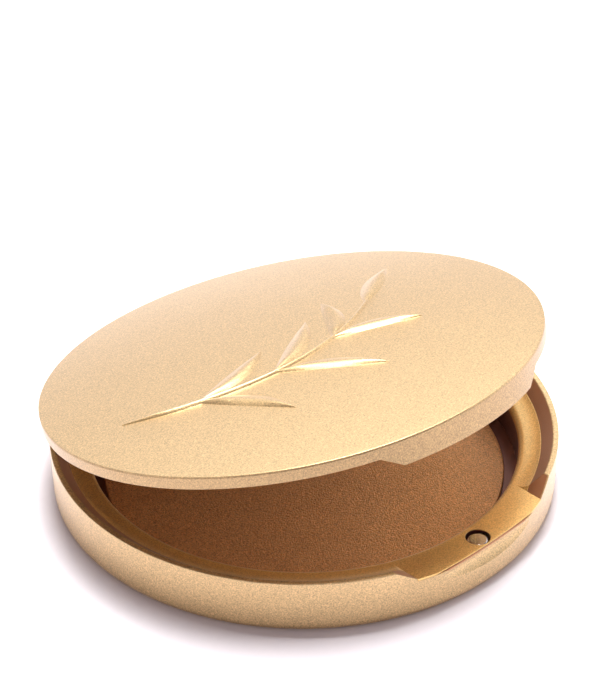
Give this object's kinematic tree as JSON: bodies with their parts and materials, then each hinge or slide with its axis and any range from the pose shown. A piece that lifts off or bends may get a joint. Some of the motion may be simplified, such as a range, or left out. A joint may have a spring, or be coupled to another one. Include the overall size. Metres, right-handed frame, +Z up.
{
  "type": "powder compact",
  "caption": "Round refillable powder compact with a magnetic front closure, a mirror in its domed lid, a rear friction hinge and an empty well for a refill pan.",
  "frame": {"origin": "centre of the flat rest face under the base", "axes": "+Z up, -Y towards the front notch and thumb scoop, +Y towards the hinge, +X to the right seen from the front"},
  "size_m": [0.076, 0.0774, 0.0296],
  "materials": {
    "champagne_metal": "satin champagne-gold metallic paint with a fine sparkle, on cast light metal",
    "grained_metal": "champagne-gold metallic paint over a fine leather-like grain",
    "nickel_plate": "bright nickel plating on a sintered magnet",
    "pin_steel": "ground bright steel",
    "mirror_glass": "silvered flat glass",
    "adhesive_foam": "white double-sided foam tape"
  },
  "bodies": {
    "base": {"base_shell": "champagne_metal", "base_tray": "champagne_metal", "well_floor_plate": "grained_metal", "refill_magnet": "nickel_plate", "base_closure_magnet": "nickel_plate", "hinge_pin_left": "pin_steel", "hinge_pin_right": "pin_steel"},
    "lid": {"lid_shell": "champagne_metal", "mirror_frame": "champagne_metal", "mirror": "mirror_glass", "mirror_adhesive": "adhesive_foam", "lid_closure_magnet": "nickel_plate"}
  },
  "joints": [
    {"name": "lid_hinge", "type": "hinge", "parent": "base", "child": "lid", "pos_m": [0, 0.0364, 0.0045], "axis": [-1, 0, 0], "range_deg": [-14.6, 95.4]}
  ]
}
